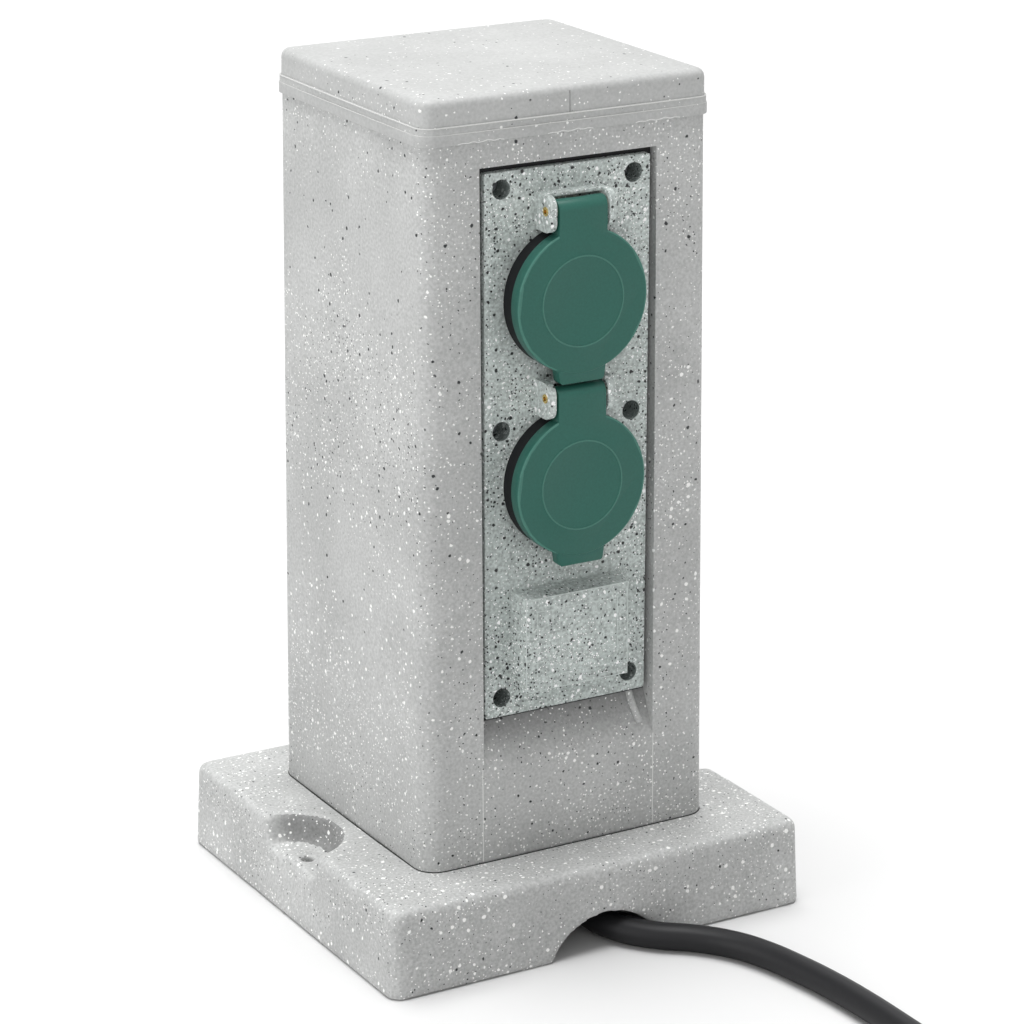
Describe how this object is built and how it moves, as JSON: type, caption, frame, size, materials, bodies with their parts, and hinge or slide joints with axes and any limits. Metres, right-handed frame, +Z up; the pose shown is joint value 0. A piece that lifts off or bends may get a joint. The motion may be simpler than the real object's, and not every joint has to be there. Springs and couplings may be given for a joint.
{
  "type": "garden socket pillar",
  "caption": "Square hollow pillar with a cap on a rectangular screw-down base, earthed outdoor sockets under sprung green lids, and a black mains lead leaving through an arch.",
  "frame": {"origin": "middle of the base's underside, on the ground", "axes": "+Z up, sockets face -Y, +X to the right when facing the sockets"},
  "size_m": [0.1987, 0.438, 0.3118],
  "materials": {
    "granite_plastic": "moulded, matt, grey with fine white and dark granite flecks",
    "plate_plastic": "moulded, satin, greenish grey with white and black flecks",
    "lid_plastic": "moulded, satin, dark green",
    "black_plastic": "moulded, satin, black",
    "black_rubber": "smooth, low sheen, black",
    "white_plastic": "moulded, off-white",
    "brass": "plain, pressed",
    "zinc_steel": "zinc plated",
    "nickel_brass": "nickel plated",
    "brown_sleeve": "soft sleeve",
    "blue_sleeve": "soft sleeve",
    "green_sleeve": "soft sleeve, green and yellow"
  },
  "bodies": {
    "root": {"base_plate": "granite_plastic", "column_shell": "granite_plastic", "cap": "granite_plastic", "column_screws": "zinc_steel", "socket_plate": "plate_plastic", "plate_gasket": "black_rubber", "plate_screws": "zinc_steel", "upper_socket_insert": "black_plastic", "lower_socket_insert": "black_plastic", "upper_contact_carrier": "white_plastic", "lower_contact_carrier": "white_plastic", "live_rail": "brass", "neutral_rail": "brass", "earth_rail": "brass", "upper_hinge_pin": "brass", "lower_hinge_pin": "brass", "upper_lid_spring": "zinc_steel", "lower_lid_spring": "zinc_steel", "back_box": "white_plastic", "back_box_screws": "zinc_steel", "cable_gland": "black_plastic", "gland_cap": "black_plastic", "gland_nut": "black_plastic", "bend_relief": "black_rubber", "cable_tail": "black_rubber", "terminal_block": "white_plastic", "terminal_screws": "zinc_steel", "live_wire": "brown_sleeve", "neutral_wire": "blue_sleeve", "earth_wire": "green_sleeve", "cord": "black_rubber", "cord_coil": "black_rubber", "plug_relief": "black_rubber", "plug_body": "black_rubber", "plug_pins": "nickel_brass", "plug_earth_contacts": "brass"},
    "upper_cover": {"upper_lid": "lid_plastic", "upper_lid_seal": "black_rubber"},
    "lower_cover": {"lower_lid": "lid_plastic", "lower_lid_seal": "black_rubber"}
  },
  "joints": [
    {"name": "upper_lid_hinge", "type": "hinge", "parent": "root", "child": "upper_cover", "pos_m": [0, -0.0612, 0.2706], "axis": [-1, 0, 0], "range_deg": [0, 95], "stiffness_Nm_per_rad": 0.02, "springref_deg": -57.3},
    {"name": "lower_lid_hinge", "type": "hinge", "parent": "root", "child": "lower_cover", "pos_m": [0, -0.0612, 0.2042], "axis": [-1, 0, 0], "range_deg": [0, 95], "stiffness_Nm_per_rad": 0.02, "springref_deg": -57.3}
  ]
}
